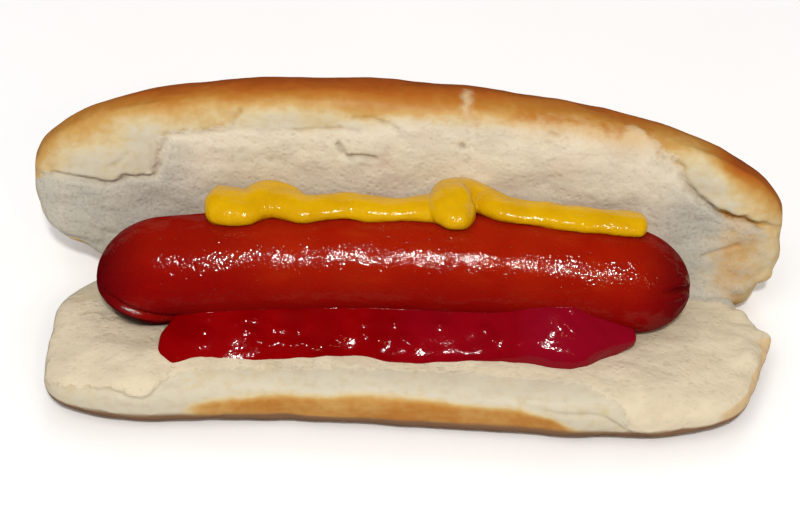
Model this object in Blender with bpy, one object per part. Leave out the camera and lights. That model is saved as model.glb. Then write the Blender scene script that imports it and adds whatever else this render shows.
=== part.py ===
"""A hot dog: a soft bun slit along one side and opened like a book, with a frankfurter lying in
its fold, a bead of mustard behind the sausage and a strip of ketchup in front of it.

The bun is one piece. Its heel lies flat and its crown stands up behind the sausage. X runs
along the bun, Y points from the heel's open edge towards the crown, and Z is up from the table.
Sizes are in millimetres, and the meshes are written in metres.
"""

import math

import bmesh
import bpy
import numpy as np
from mathutils import Vector, noise

MM = 0.001

# The bun is measured from the inner corner of its fold, which lies above Y = 0.
FOLD_HEIGHT = 9.0
CROWN_LENGTH = 154.4
CROWN_CENTRE_X = -0.8
CROWN_LEAN = math.radians(78.0)
CROWN_MIDDLE = 17.4
CROWN_MIDDLE_SLOPE = -0.040
CROWN_REACH_UP = 23.9
CROWN_REACH_DOWN = 26.5
CROWN_FACE = 6.5
CROWN_DOME = 15.5
HEEL_LENGTH = 145.6
HEEL_CENTRE_X = 0.5
HEEL_MIDDLE = -13.3
HEEL_HALF_WIDTH = 21.3
HEEL_MIDDLE_HEIGHT = 6.0
HEEL_RISE = 5.5
HEEL_DROP = 7.2
HEEL_TILT = 0.1

# How blunt the ends are, seen square to the cut face: at the open edge and at the fold.
CROWN_LEFT_END = (2.14, 3.1)
CROWN_RIGHT_END = (2.2, 3.5)
HEEL_LEFT_END = (8.0, 2.4)
HEEL_RIGHT_END = (3.5, 3.6)

# The browned skin of the crown turns over the cut face down to this line: (along, up the face).
SKIN_LINE = ((-80, 22), (-54, 22.5), (-50, 33), (-20, 35.5), (10, 38.5), (50, 35), (57, 28), (75, 17))
SKIN_STEP = 0.9
CRUMB_RELIEF = 0.5

# The frankfurter, whose middle bows up and bends back from the line between its two ends. Its left
# end is lower, further forward and a little thicker. Its casing is puckered where it is tied off.
SAUSAGE_LENGTH = 119.6
SAUSAGE_RADIUS = 10.7
SAUSAGE_TAPER = 0.025
SAUSAGE_END = 12.5
SAUSAGE_CENTRE = (-3.35, -9.4, 17.9)
SAUSAGE_BOW = 3.8
SAUSAGE_BEND = 2.3
SAUSAGE_TILT = 0.018
SAUSAGE_TURN = 0.016
PUCKER_DEPTH = 1.2
PUCKER_REACH = 8.0

# Mustard lies along the top of the sausage, in a plane that faces up and forward. Its section is
# deeper behind the plane than in front of it, and slants down on to the sausage.
CREASE = (0.6, 29.75)
MUSTARD_FRONT = 1.2
MUSTARD_BACK = 1.7
MUSTARD_SLANT = 0.8
MUSTARD_PLANE = math.radians(43.0)
# Each strand's points: along the bun, up the plane, out from it, and the strand's radius.
MUSTARD_LEFT = (
    (-38.2, -1.1, 4.4, 4.0),
    (-33.0, -1.3, 3.9, 3.6),
    (-28.5, 0.5, 3.0, 3.9),
    (-22.0, -0.8, 3.3, 3.1),
    (-13.3, -0.2, 3.0, 2.8),
    (-4.5, -0.7, 3.2, 2.6),
    (8.0, -0.1, 2.6, 2.8),
)
MUSTARD_RIGHT = (
    (45.5, -1.7, 4.0, 2.6),
    (36.7, -1.4, 3.6, 2.6),
    (25.0, -0.4, 3.2, 2.4),
    (18.6, 0.2, 3.0, 2.7),
    (13.2, 2.3, 3.0, 3.0),
    (9.6, 3.4, 3.2, 2.9),
    (6.8, 2.2, 3.6, 2.9),
    (6.2, 0.6, 4.0, 2.9),
)
MUSTARD_TUCKED_END = (
    (7.6, -1.2, 5.0, 2.9),
    (10.6, -1.1, 5.4, 2.7),
)

# Ketchup lies in front of the sausage and climbs a little way up it.
KETCHUP_LENGTH = 94.8
KETCHUP_CENTRE = (-1.7, -18.8, 13.5)
KETCHUP_BACK = 7.7
KETCHUP_THICKNESS = 3.9
KETCHUP_SLOPE = 0.36
KETCHUP_LEFT_END = (8.0, 3.0)
KETCHUP_RIGHT_END = (2.9, 2.4)
KETCHUP_CLIMB = (31.0, 9.0, 6.3)
# The ketchup's front edge on the bread: (along the bun, Y).
KETCHUP_EDGE = (
    (-49, -27.5),
    (-44, -30.3),
    (-36, -28.4),
    (-27, -27.2),
    (-14, -25.0),
    (3, -26.0),
    (19, -24.7),
    (33, -26.4),
    (46, -21.5),
)

# Pieces that touch keep this gap.
GAP = 0.3


def bump(x, centre, width):
    return np.exp(-(((x - centre) / width) ** 2))


def shaped_sphere(name, around, along, shape, collection):
    """A sphere with its poles on the X axis whose unit points shape() moves."""
    bm = bmesh.new()
    bmesh.ops.create_uvsphere(bm, u_segments=around, v_segments=along, radius=1.0)
    unit = np.array([(v.co.z, v.co.y, -v.co.x) for v in bm.verts])
    for vert, point in zip(bm.verts, shape(unit / np.linalg.norm(unit, axis=1)[:, None])):
        vert.co = Vector(point) * MM
    if bm.calc_volume(signed=True) < 0:
        bmesh.ops.reverse_faces(bm, faces=bm.faces)
    mesh = bpy.data.meshes.new(name)
    bm.to_mesh(mesh)
    bm.free()
    mesh.shade_smooth()
    made = bpy.data.objects.new(name, mesh)
    collection.objects.link(made)
    return made


def cushion(unit, left_end, right_end, section_power):
    """Pushes unit points out to a cushion of reach 1 each way, with its own outline at each end.

    An end's outline is blunt by two powers, one on its open side and one on its side by the fold.
    """
    along, across, thick = np.abs(unit).T + 1e-9
    flat = np.hypot(along, across)
    out = (flat**section_power + thick**section_power) ** (-1 / section_power)
    ends = np.where(unit[:, :1] < 0, [left_end], [right_end])
    power = np.where(unit[:, 1] < 0, ends[:, 0], ends[:, 1])
    outline = flat * (along**power + across**power) ** (-1 / power)
    return unit[:, 0] * out * outline, unit[:, 1] * out * outline, unit[:, 2] * out


def relief(x, across, scale):
    """Soft lumps of torn crumb, between about -1 and 1."""
    points = zip(x / (2.2 * scale), across / scale)
    return np.array([noise.noise((a, b, 3.0)) for a, b in points]) * 1.6


def crown_shape(unit, grow=0.0):
    dome = unit[:, 2] > 0
    turned = unit * (1, -1, 1)
    x, across, through = cushion(turned, CROWN_LEFT_END, CROWN_RIGHT_END, np.where(dome, 2.5, 3.4))
    x = CROWN_CENTRE_X + x * (CROWN_LENGTH / 2 + grow)
    reach = np.where(across < 0, CROWN_REACH_UP, CROWN_REACH_DOWN) + grow
    up_face = CROWN_MIDDLE + CROWN_MIDDLE_SLOPE * x - across * reach
    out = CROWN_FACE + through * (np.where(dome, CROWN_DOME, CROWN_FACE) + grow)
    skin = np.interp(x, *zip(*SKIN_LINE))
    skin = np.clip((up_face - skin) / 3.0, 0, 1)
    crumb = CRUMB_RELIEF * relief(x, up_face, 6.0) - SKIN_STEP * skin
    out += np.clip(-through, 0, 1) ** 2 * crumb
    y = up_face * math.cos(CROWN_LEAN) + out * math.sin(CROWN_LEAN)
    z = FOLD_HEIGHT + up_face * math.sin(CROWN_LEAN) - out * math.cos(CROWN_LEAN)
    return np.column_stack([x, y, z])


def heel_shape(unit, grow=0.0):
    top = unit[:, 2] > 0
    x, across, through = cushion(unit, HEEL_LEFT_END, HEEL_RIGHT_END, np.where(top, 3.0, 3.2))
    x = HEEL_CENTRE_X + x * (HEEL_LENGTH / 2 + grow)
    y = HEEL_MIDDLE + across * (HEEL_HALF_WIDTH + grow)
    z = HEEL_MIDDLE_HEIGHT + through * (np.where(top, HEEL_RISE, HEEL_DROP) + grow)
    lifted = HEEL_TILT * (HEEL_MIDDLE - y) + CRUMB_RELIEF * relief(x, y, 6.0)
    return np.column_stack([x, y, z + np.clip(through, 0, 1) * lifted])


def rod(unit, caps=0.5):
    """Place along a rod's straight part from -1 to 1, angle into its round end, angle about it."""
    share = np.arctan2(unit[:, 0], np.hypot(unit[:, 1], unit[:, 2])) / (math.pi / 2)
    along = np.clip(share / (1 - caps), -1, 1)
    dome = np.sign(share) * np.clip((np.abs(share) - 1 + caps) / caps, 0, 1) * math.pi / 2
    return along, dome, np.arctan2(unit[:, 2], unit[:, 1])


def sausage_shape(unit, grow=0.0):
    along, dome, around = rod(unit)
    half = SAUSAGE_LENGTH / 2
    x = (half - SAUSAGE_END) * along + (SAUSAGE_END + grow) * np.sin(dome)
    radius = (SAUSAGE_RADIUS * (1 - SAUSAGE_TAPER * x / half) + grow) * np.cos(dome)
    fold = np.clip(np.cos(5 * around + np.where(x > 0, 0.8, 2.0)) - 0.1, 0, 1) ** 2
    pucker = fold * np.exp(-(((half - np.abs(x)) / PUCKER_REACH) ** 2)) * np.cos(dome)
    radius -= 0.0 if grow else PUCKER_DEPTH * pucker
    y = SAUSAGE_CENTRE[1] + SAUSAGE_TURN * x + radius * np.cos(around)
    z = SAUSAGE_CENTRE[2] + SAUSAGE_TILT * x + radius * np.sin(around)
    arch = 1 - (x / half) ** 2
    return np.column_stack([SAUSAGE_CENTRE[0] + x, y + SAUSAGE_BEND * arch, z + SAUSAGE_BOW * arch])


def smooth_path(points, count):
    """A smooth curve through the points, evenly stepped along its length."""
    points = np.array(points, float)
    ends = [2 * points[0] - points[1]], [2 * points[-1] - points[-2]]
    a = np.concatenate([ends[0], points, ends[1]])
    t = np.linspace(0, 1, 16)[:, None]
    curve = []
    for p, q, r, s in zip(a, a[1:], a[2:], a[3:]):
        curve.append(q + 0.5 * t * (r - p + t * (2 * p - 5 * q + 4 * r - s + t * (3 * (q - r) + s - p))))
    curve = np.concatenate(curve)
    steps = np.linalg.norm(np.diff(curve[:, :3], axis=0), axis=1)
    length = np.concatenate([[0], np.cumsum(steps)])
    even = np.linspace(0, length[-1], count)
    return even, np.column_stack([np.interp(even, length, column) for column in curve.T])


def strand_shape(unit, points):
    """A round-ended strand of mustard along points of the plane that it lies in."""
    along, dome, around = rod(unit, 0.2)
    length, path = smooth_path(points, 200)
    ends = np.where(along < 0, path[0, 3], path[-1, 3])
    place = length[-1] * (1 + along) / 2
    centre = np.column_stack([np.interp(place, length, column) for column in path.T])
    slope = np.gradient(path[:, :3], length, axis=0)
    forward = np.column_stack([np.interp(place, length, column) for column in slope.T])
    forward /= np.linalg.norm(forward, axis=1)[:, None]
    side = np.cross([0.0, 0.0, 1.0], forward)
    side /= np.linalg.norm(side, axis=1)[:, None]
    outward = np.cross(forward, side)
    radius = (centre[:, 3] * np.cos(dome))[:, None]
    spot = centre[:, :3] + forward * (ends * np.sin(dome) * 0.7)[:, None]
    spot += radius * side * np.cos(around)[:, None]
    depth = np.sin(around) * np.where(around > 0, MUSTARD_FRONT, MUSTARD_BACK)
    spot += radius * outward * depth[:, None]
    up = spot[:, 1]
    out = spot[:, 2] - MUSTARD_SLANT * (up - centre[:, 1])
    y = CREASE[0] + up * math.sin(MUSTARD_PLANE) - out * math.cos(MUSTARD_PLANE)
    z = CREASE[1] + up * math.cos(MUSTARD_PLANE) + out * math.sin(MUSTARD_PLANE)
    return np.column_stack([spot[:, 0], y, z])


def ketchup_shape(unit):
    x, across, through = cushion(unit, KETCHUP_LEFT_END, KETCHUP_RIGHT_END, 2.3)
    x = KETCHUP_CENTRE[0] + x * KETCHUP_LENGTH / 2
    front = KETCHUP_CENTRE[1] - np.interp(x, *zip(*KETCHUP_EDGE))
    climb = KETCHUP_CLIMB[2] * bump(x, KETCHUP_CLIMB[0], KETCHUP_CLIMB[1])
    y = across * np.where(across < 0, front, KETCHUP_BACK)
    z = KETCHUP_SLOPE * y + through * (KETCHUP_THICKNESS + np.where(through > 0, 0.5 * climb, 2.0))
    y += KETCHUP_CENTRE[1] - 0.15 * climb
    z += KETCHUP_CENTRE[2] + 0.35 * climb
    return np.column_stack([x, y, z])


def boolean(target, operand, operation):
    modifier = target.modifiers.new(operand.name, "BOOLEAN")
    modifier.operation = operation
    modifier.solver = "EXACT"
    modifier.object = operand


def paint(target, name, colour, roughness):
    material = bpy.data.materials.new(name)
    material.use_nodes = True
    shader = material.node_tree.nodes["Principled BSDF"]
    shader.inputs["Base Color"].default_value = (*colour, 1.0)
    shader.inputs["Roughness"].default_value = roughness
    target.data.materials.append(material)


def stand_on_origin(parts, tools, bun):
    """Moves everything so that the bun stands centred over the origin."""
    shaped = bun.evaluated_get(bpy.context.evaluated_depsgraph_get())
    corners = np.array([corner[:] for corner in shaped.bound_box])
    middle = (corners.min(axis=0) + corners.max(axis=0)) / 2
    root = bpy.data.objects.new("root", None)
    root.location = (-middle[0], -middle[1], 0.0)
    bpy.context.scene.collection.objects.link(root)
    for piece in [*parts.objects, *tools.objects]:
        piece.parent = root


def main():
    for old in list(bpy.data.objects):
        bpy.data.objects.remove(old)
    parts = bpy.data.collections.new("hot_dog")
    tools = bpy.data.collections.new("cutters")
    for collection in (parts, tools):
        bpy.context.scene.collection.children.link(collection)

    bun = shaped_sphere("bun", 48, 46, crown_shape, parts)
    sausage = shaped_sphere("sausage", 32, 34, sausage_shape, parts)
    mustard = shaped_sphere("mustard", 14, 44, lambda u: strand_shape(u, MUSTARD_LEFT), parts)
    ketchup = shaped_sphere("ketchup", 20, 44, ketchup_shape, parts)

    heel = shaped_sphere("heel", 40, 42, heel_shape, tools)
    grown_crown = shaped_sphere("crown_clearance", 48, 46, lambda u: crown_shape(u, GAP), tools)
    grown_heel = shaped_sphere("heel_clearance", 40, 42, lambda u: heel_shape(u, GAP), tools)
    grown_sausage = shaped_sphere("seat", 32, 34, lambda u: sausage_shape(u, GAP), tools)
    right = shaped_sphere("right_strand", 14, 32, lambda u: strand_shape(u, MUSTARD_RIGHT), tools)
    tuck = shaped_sphere("tucked_end", 14, 18, lambda u: strand_shape(u, MUSTARD_TUCKED_END), tools)
    bpy.ops.mesh.primitive_cube_add(size=1.0, location=(0, 0, -0.01))
    table = bpy.context.object
    table.name = "table"
    table.scale = (0.2, 0.12, 0.02)
    table.users_collection[0].objects.unlink(table)
    tools.objects.link(table)

    boolean(bun, heel, "UNION")
    boolean(bun, grown_sausage, "DIFFERENCE")
    boolean(bun, table, "DIFFERENCE")
    boolean(mustard, right, "UNION")
    boolean(mustard, tuck, "UNION")
    for sauce in (mustard, ketchup):
        boolean(sauce, grown_sausage, "DIFFERENCE")
    boolean(mustard, grown_crown, "DIFFERENCE")
    boolean(ketchup, grown_heel, "DIFFERENCE")
    for tool in tools.objects:
        tool.hide_render = True
        tool.display_type = "WIRE"
    stand_on_origin(parts, tools, bun)

    paint(bun, "bread", (0.62, 0.50, 0.33), 0.85)
    paint(sausage, "frankfurter", (0.42, 0.035, 0.01), 0.3)
    paint(mustard, "mustard", (0.8, 0.46, 0.004), 0.3)
    paint(ketchup, "ketchup", (0.32, 0.004, 0.006), 0.15)


main()
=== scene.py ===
"""The look of the hot dog: torn and browned bread, a glossy frankfurter, mustard and ketchup.

Shapes are worked out in millimetres in the hot dog's own frame: X runs along the bun, Z is up from
the table, and Y = 0 is at the inner corner of the fold. Each mesh is then moved to where the
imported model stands. Lines on the crown's cut face are written as (along, up the face).
"""

import math

import bmesh
import bpy
import numpy as np
from mathutils import Matrix, Vector, noise


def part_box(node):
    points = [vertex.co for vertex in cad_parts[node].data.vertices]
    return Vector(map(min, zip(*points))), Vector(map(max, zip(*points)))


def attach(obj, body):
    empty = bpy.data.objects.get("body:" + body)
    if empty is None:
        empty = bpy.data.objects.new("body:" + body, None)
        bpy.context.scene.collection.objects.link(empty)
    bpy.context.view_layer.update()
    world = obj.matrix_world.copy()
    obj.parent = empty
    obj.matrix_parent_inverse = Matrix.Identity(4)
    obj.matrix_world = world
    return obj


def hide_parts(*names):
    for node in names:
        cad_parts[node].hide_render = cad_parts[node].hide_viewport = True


MM = 0.001

# The bun's two halves, which meet in the fold.
FOLD_HEIGHT = 9.0
CROWN_LENGTH = 154.4
CROWN_CENTRE_X = -0.8
CROWN_LEAN = math.radians(78.0)
CROWN_MIDDLE = 17.4
CROWN_MIDDLE_SLOPE = -0.040
CROWN_REACH_UP = 23.9
CROWN_REACH_DOWN = 26.5
CROWN_FACE = 6.5
CROWN_DOME = 15.5
CROWN_LEFT_END = (2.14, 3.1)
CROWN_RIGHT_END = (2.2, 3.5)
HEEL_LENGTH = 145.6
HEEL_CENTRE_X = 0.5
HEEL_MIDDLE = -13.3
HEEL_HALF_WIDTH = 21.3
HEEL_MIDDLE_HEIGHT = 6.0
HEEL_RISE = 5.5
HEEL_DROP = 7.2
HEEL_TILT = 0.1
HEEL_LEFT_END = (8.0, 2.7)
HEEL_RIGHT_END = (5.0, 3.6)
# The crown's lower edge lifts at its left end: (along the bun, half width, height).
CROWN_TUCK = (-66, 8, 1.8)
# How far out behind the cut face the crown's crumb reaches.
CROWN_CRUMB = 2.9

# The frankfurter, whose middle bows up and bends back from the line between its two ends.
SAUSAGE_LENGTH = 119.6
SAUSAGE_RADIUS = 10.7
SAUSAGE_TAPER = 0.025
SAUSAGE_END = 12.5
SAUSAGE_CENTRE = (-3.35, -9.4, 17.9)
SAUSAGE_BOW = 3.8
SAUSAGE_BEND = 2.3
SAUSAGE_TILT = 0.018
SAUSAGE_TURN = 0.016
# Creases where its casing is tied off, as a line of (distance from the tip, degrees round from the
# back over the top), a depth and a half width.
LEFT_CREASES = (
    (((0, 158), (2, 165), (7, 180), (14, 197), (20, 204)), 1.0, 0.7),
    (((0, 134), (7, 140)), 0.12, 0.8),
    (((0, 40), (7, 44)), 0.3, 0.8),
    (((0, 0), (7, 4)), 0.3, 0.8),
    (((0, -50), (7, -46)), 0.3, 0.8),
    (((0, 225), (12, 225)), 1.3, 4.5),
)
RIGHT_CREASES = (
    (((0, 134), (2, 141), (5, 148)), 1.5, 0.65),
    (((0, 5), (7, 5)), 0.3, 0.8),
    (((0, -45), (7, -45)), 0.3, 0.8),
    (((0, -100), (8, -100)), 0.3, 0.8),
)

# The mustard lies in a plane over the crease behind the sausage. Each point of a strand is
# (along the bun, up the plane, radius, lift off what lies under it). A strand's section reaches
# further behind its middle than in front, and slants down on to the sausage.
CREASE = (0.6, 29.75)
MUSTARD_PLANE = math.radians(43.0)
MUSTARD_FRONT = 1.15
MUSTARD_BACK = 1.8
MUSTARD_SLANT = 0.6
MUSTARD_LEFT = (
    (-38.4, -1.35, 4.1, 0.4),
    (-35.4, -1.6, 3.9, 0.3),
    (-32.6, -1.6, 3.5, 0.1),
    (-30.2, -0.2, 3.9, 0.1),
    (-27.8, 0.3, 3.8, 0.1),
    (-25.1, -0.3, 3.5, 0.1),
    (-21.9, -1.3, 3.1, 0.2),
    (-18.1, -1.0, 2.75, 0.1),
    (-13.3, -0.4, 2.8, 0.1),
    (-8.5, -0.85, 2.75, 0.1),
    (-4.5, -1.05, 2.5, 0.1),
    (-0.4, -0.6, 2.6, 0.1),
    (3.6, -0.2, 2.9, 0.1),
    (8.0, 0.0, 2.9, 0.0),
)
MUSTARD_RIGHT = (
    (45.1, -1.75, 2.65, 0.2),
    (42.7, -1.65, 2.65, 0.2),
    (36.7, -1.45, 2.6, 0.1),
    (30.7, -1.0, 2.7, 0.1),
    (27.7, -0.5, 2.65, 0.1),
    (24.7, -0.4, 2.45, 0.1),
    (19.2, 0.1, 2.65, 0.1),
    (15.8, 1.25, 2.9, 0.2),
    (12.9, 2.6, 3.1, 0.5),
    (9.9, 3.2, 3.4, 0.9),
    (7.4, 2.4, 3.6, 1.2),
    (6.8, 0.4, 3.7, 1.4),
    (8.0, -0.7, 3.7, 1.6),
    (10.1, -1.0, 3.4, 1.8),
)
# The right strand's end curls over on itself, which this short strand fills.
MUSTARD_CURL = ((6.9, 1.0, 3.9, 2.0), (8.6, 1.6, 3.9, 1.9))

# The ketchup, whose front edge on the bread is (along the bun, Y). Its right part climbs the
# sausage: (along the bun, half width, height).
KETCHUP_LENGTH = 94.8
KETCHUP_CENTRE = (-1.7, -18.8, 14.4)
KETCHUP_BACK = 7.7
KETCHUP_THICKNESS = 3.0
KETCHUP_SLOPE = 0.55
KETCHUP_LEFT_END = (9.0, 2.2)
KETCHUP_RIGHT_END = (2.9, 2.4)
KETCHUP_CLIMB = (30.5, 10.0, 3.8)
KETCHUP_EDGE = (
    (-49, -30.2),
    (-47.5, -31.5),
    (-45.5, -32.1),
    (-43, -31.7),
    (-41, -30.5),
    (-37, -29.0),
    (-28, -27.4),
    (-22, -26.4),
    (-14, -25.7),
    (-10, -25.1),
    (-6, -25.7),
    (-3, -26.1),
    (3, -26.1),
    (8, -25.5),
    (19, -24.8),
    (27, -26.2),
    (33, -27.6),
    (36, -27.0),
    (38.5, -24.6),
    (41, -23.2),
    (46, -21.2),
)

# Blisters in the ketchup that catch the light: (along the bun, Y, height, half width).
KETCHUP_BLISTERS = (
    (-40.0, -18.4, 0.40, 0.8),
    (-39.6, -20.2, 0.30, 0.6),
    (-40.2, -22.6, 0.35, 0.6),
    (-34.0, -21.0, 0.30, 0.6),
    (-32.2, -20.2, 0.35, 0.6),
    (-30.2, -20.0, 0.35, 0.6),
    (-31.8, -22.2, 0.40, 0.7),
    (-29.9, -22.6, 0.35, 0.6),
    (-27.6, -20.8, 0.35, 0.6),
    (-26.4, -21.6, 0.40, 0.8),
    (-24.2, -21.8, 0.35, 0.6),
    (-21.6, -22.0, 0.35, 0.7),
    (-29.4, -24.0, 0.40, 0.9),
    (-27.2, -24.8, 0.35, 0.8),
    (-25.2, -24.0, 0.45, 0.9),
    (-22.8, -24.6, 0.40, 0.8),
    (-20.4, -24.0, 0.45, 0.9),
    (-18.4, -24.8, 0.35, 0.8),
    (-15.0, -24.2, 0.40, 0.7),
    (-13.0, -22.4, 0.40, 0.7),
    (-9.0, -20.2, 0.35, 0.7),
    (-8.6, -22.0, 0.35, 0.6),
    (-5.4, -23.0, 0.55, 1.0),
    (-2.6, -19.8, 0.35, 0.7),
    (-0.6, -22.6, 0.55, 1.0),
    (1.0, -23.6, 0.40, 0.8),
    (6.6, -19.6, 0.35, 0.7),
    (15.2, -20.2, 0.60, 1.1),
    (17.0, -22.2, 0.55, 1.0),
    (21.6, -23.8, 0.50, 1.0),
    (32.6, -18.0, 0.35, 0.7),
    (31.6, -20.6, 0.50, 1.0),
    (33.2, -21.8, 0.40, 0.7),
    (38.4, -21.0, 0.40, 0.8),
)

# Where the crown's browned skin ends and torn crumb begins, and how strongly it was torn there.
TORN_EDGE = (
    (-80.0, 20.5),
    (-72.3, 21.5),
    (-68.1, 21.8),
    (-65.6, 21.3),
    (-63.5, 20.9),
    (-60.8, 21.4),
    (-58.6, 22.7),
    (-53.2, 23.0),
    (-51.9, 26.5),
    (-51.6, 30.4),
    (-49.9, 32.2),
    (-46.4, 33.1),
    (-42.6, 33.2),
    (-36.9, 34.6),
    (-28.0, 34.8),
    (-22.2, 34.1),
    (-11.0, 35.4),
    (0.0, 37.0),
    (12.0, 36.6),
    (24.0, 37.2),
    (38.0, 36.6),
    (41.5, 41.0),
    (46.2, 41.0),
    (48.7, 34.6),
    (52.2, 31.4),
    (54.4, 29.0),
    (54.6, 26.9),
    (56.3, 24.4),
    (58.5, 22.9),
    (60.8, 21.3),
    (63.1, 19.7),
    (64.9, 18.9),
    (67.4, 18.5),
    (70.1, 17.2),
    (72.7, 16.2),
    (80.0, 13.5),
)
TORN_DEPTH = (
    (-75, 0.3),
    (-70, 1.0),
    (-53, 1.0),
    (-50, 0.4),
    (-36, 0.16),
    (-20, 0.0),
    (50, 0.0),
    (56, 0.9),
    (62, 1.7),
    (70, 1.6),
    (75, 0.3),
)

# Cracks in the crown's crumb: the line, its depth and its half width.
CRACKS = (
    (((-15.4, 31.6), (-14.6, 29.9), (-13.6, 28.9), (-11.0, 29.3), (-8.2, 28.9)), 1.0, 0.5),
    (((-12.4, 37.2), (-8.8, 37.4), (-6.7, 36.8), (-3.2, 35.4), (-2.7, 33.9)), 0.4, 0.5),
    (((-24.0, 34.2), (-19.0, 34.6), (-15.3, 35.0), (-11.1, 34.6)), 0.35, 0.5),
    (((-35.0, 37.6), (-36.3, 36.2), (-36.6, 34.8)), 0.5, 0.5),
    (((9.3, 32.4), (9.5, 32.0)), 0.8, 0.6),
    (((49.2, 31.6), (49.5, 31.2)), 0.8, 0.6),
    (((27.0, 35.6), (28.6, 35.0)), 0.4, 0.5),
    (((60.4, 8.1), (63.8, 9.6), (67.4, 10.9)), 0.6, 0.6),
    (((-58.0, 27.5), (-59.5, 25.6), (-61.0, 24.6)), 0.3, 0.5),
    (((-50.0, 8.5), (-57.0, 7.0), (-63.0, 7.6)), 0.4, 0.8),
)
# A split in the crown's crust, from its top edge down: (along, out behind the cut face).
CRUST_SPLIT = ((10.3, 8.5), (9.7, 6.5), (10.2, 4.6), (9.7, 3.4), (10.4, 2.4), (11.6, 1.2))

# How deeply the crown is baked at each distance out behind its cut face.
BAKE = ((0.5, 0.0), (1.0, 0.07), (1.5, 0.19), (2.2, 0.36), (3.0, 0.51), (5.0, 0.74), (9.5, 1.0))
# How strongly its front edge is browned from end to end.
BAKE_ALONG = (
    (-80, 0.60),
    (-66, 0.71),
    (-53, 0.84),
    (-33, 1.0),
    (-12, 1.02),
    (10, 0.95),
    (24, 0.74),
    (42, 0.70),
    (56, 0.54),
    (62, 0.66),
    (68, 0.86),
    (80, 0.95),
)

# How far the heel's right end stands out or in at each Y.
HEEL_CORNER = (
    (-34.5, 0.3),
    (-33.0, 0.0),
    (-31.0, -2.2),
    (-28.0, -3.4),
    (-24.4, -3.4),
    (-19.5, -2.0),
    (-14.7, -0.2),
    (-9.9, 1.0),
    (-6.5, -0.6),
    (-4.5, -2.8),
    (-2.0, -2.4),
    (0.0, -1.6),
)
# How far the heel's front edge stands out towards -Y at each place along it.
HEEL_FRONT = (
    (-76, 0.8),
    (-68, 1.6),
    (-60, 2.0),
    (-52, 1.8),
    (-40, 0.9),
    (-24, -0.4),
    (0, 0.0),
    (18, 0.2),
    (27, 0.8),
    (32, 1.6),
    (38, 0.9),
    (46, 0.9),
    (50, 1.2),
    (58, 0.4),
    (66, 0.0),
)
# The heel's crumb ends at this Y along its front, and hangs over its wall down to this height.
HEEL_CRUMB_FRONT = (
    (-52, 40.0),
    (-46, 31.6),
    (-40, 30.0),
    (-20, 28.4),
    (0, 27.8),
    (26, 28.6),
    (36, 30.6),
    (44, 35.5),
    (50, 42.0),
)
HEEL_LIP = (
    (-76, 6.0),
    (-68, 8.6),
    (-62, 9.8),
    (-57.7, 10.2),
    (-55.2, 9.9),
    (-53.5, 9.3),
    (-51.4, 9.1),
    (-49.7, 9.6),
    (-48.6, 10.7),
    (-46, 11.6),
    (16, 11.6),
    (24.7, 10.0),
    (29.8, 9.5),
    (36.5, 9.4),
    (39.3, 8.9),
    (41.8, 7.5),
    (44, 5.6),
    (47, 4.2),
    (52, 1.5),
    (76, 1.5),
)
# The top of the golden band along the heel's front.
HEEL_GOLD = (
    (-46, 3.0),
    (-42, 7.2),
    (-37.8, 8.2),
    (-20, 9.3),
    (-10, 9.9),
    (0, 9.9),
    (13, 9.2),
    (23, 9.0),
    (29, 7.6),
    (36, 4.2),
    (40, 2.0),
)

# Layers of lumps, each a size in millimetres and a seed.
CRUMB_BROAD = ((12, 7, 7), 0.0)
CRUMB_MIDDLE = ((5.5, 3.6, 3.6), 7.0)
CRUMB_SMALL = ((2.4, 1.7, 1.7), 13.0)
CRUMB_FINE = (1.1, 23.0)
CRUST_STREAK = ((14, 5, 5), 31.0)
CRACK_SHADE = (1.5, 3.0)
# How far small lumps push the torn edge to and fro.
TEAR_RAGGED = 0.4
# The swell of each smooth piece, as layers of lumps: (height, size, seed).
SAUSAGE_SWELL = ((0.12, (18, 9, 9), 0.0), (0.03, (6.0, 1.6, 1.6), 5.0), (0.010, (1.5, 1.1, 1.1), 11.0))
MUSTARD_SWELL = ((0.20, (5, 3.5, 3.5), 3.0), (0.06, 1.6, 9.0))
KETCHUP_SWELL = ((0.20, (8, 5, 5), 17.0), (0.12, (3.6, 2.8, 2.8), 5.0))

# The size of the faces that the fused pieces are skinned with.
BUN_VOXEL = 0.9
MUSTARD_VOXEL = 0.3
KETCHUP_VOXEL = 0.29
# How far each stays off the sausage. The sauces sink into it a little.
BUN_GAP = 0.15
SAUCE_GAP = -0.1

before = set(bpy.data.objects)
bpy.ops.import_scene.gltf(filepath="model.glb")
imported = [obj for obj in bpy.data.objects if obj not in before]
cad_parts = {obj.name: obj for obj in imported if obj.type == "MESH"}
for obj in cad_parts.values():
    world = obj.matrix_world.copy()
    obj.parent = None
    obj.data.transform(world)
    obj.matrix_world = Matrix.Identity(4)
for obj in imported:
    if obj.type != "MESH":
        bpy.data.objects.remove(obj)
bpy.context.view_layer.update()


def bump(x, centre, width):
    return np.exp(-(((x - centre) / width) ** 2))


def ramp(x, start, end):
    """0 before start, 1 after end, and smooth between them."""
    t = np.clip((x - start) / (end - start), 0, 1)
    return t * t * (3 - 2 * t)


def along(x, line):
    """The height at x of a line of (x, height) points."""
    return np.interp(x, *zip(*line))


def lumps(points, size, seed):
    """Smooth noise between about -1 and 1, with lumps of this size in millimetres."""
    return np.array([noise.noise(Vector(p)) for p in points / np.array(size) + seed]) * 1.6


def swell_of(points, layers):
    """The sum of layers of lumps."""
    return sum(height * lumps(points, size, seed) for height, size, seed in layers)


def distance(a, b, line):
    """How far each place (a, b) is from a line of points."""
    best = np.full(len(a), 1e9)
    for (a0, b0), (a1, b1) in zip(line, line[1:]):
        da, db = a1 - a0, b1 - b0
        t = np.clip(((a - a0) * da + (b - b0) * db) / (da * da + db * db), 0, 1)
        best = np.minimum(best, np.hypot(a - a0 - t * da, b - b0 - t * db))
    return best


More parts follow.
